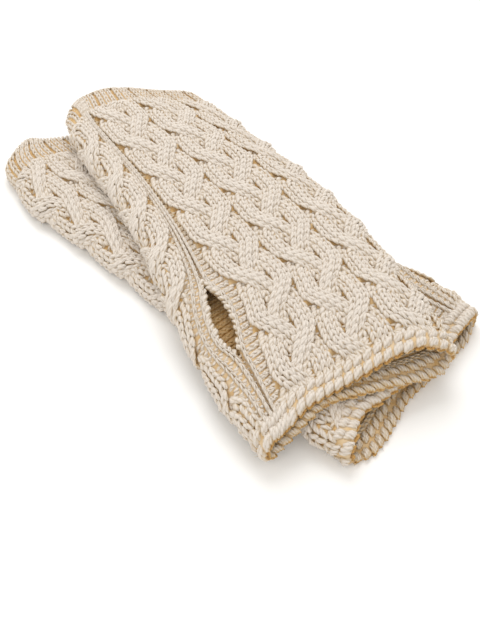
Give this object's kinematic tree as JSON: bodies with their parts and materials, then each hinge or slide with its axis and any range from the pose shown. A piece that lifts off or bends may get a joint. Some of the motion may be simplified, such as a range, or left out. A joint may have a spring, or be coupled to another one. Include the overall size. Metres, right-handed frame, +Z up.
{
  "type": "pair of fingerless mittens",
  "caption": "Pair of long cable-knit fingerless mittens with ribbed cuffs and thumb slits, lying flat, one across the other.",
  "frame": {"origin": "middle of the bounding box, on the plane the mittens lie on", "axes": "+Z up off the surface, the shortest extent; the upper mitten lies along Y with its fingers towards -Y and its cuff towards +Y; the lower mitten is turned about 17 degrees from it, its cuff towards -X"},
  "size_m": [0.1512, 0.2522, 0.0294],
  "materials": {
    "lower_back_wool": "matte knitted wool",
    "lower_thumb_side_wool": "matte knitted wool",
    "lower_palm_wool": "matte knitted wool",
    "lower_cuff_wool": "matte knitted wool",
    "lower_finger_edge_wool": "matte knitted wool",
    "upper_back_wool": "matte knitted wool",
    "upper_thumb_side_wool": "matte knitted wool",
    "upper_palm_wool": "matte knitted wool",
    "upper_cuff_wool": "matte knitted wool",
    "upper_finger_edge_wool": "matte knitted wool"
  },
  "bodies": {
    "root": {"lower_back": "lower_back_wool", "lower_thumb_side": "lower_thumb_side_wool", "lower_palm": "lower_palm_wool", "lower_cuff": "lower_cuff_wool", "lower_finger_edge": "lower_finger_edge_wool", "upper_back": "upper_back_wool", "upper_thumb_side": "upper_thumb_side_wool", "upper_palm": "upper_palm_wool", "upper_cuff": "upper_cuff_wool", "upper_finger_edge": "upper_finger_edge_wool"}
  },
  "joints": []
}
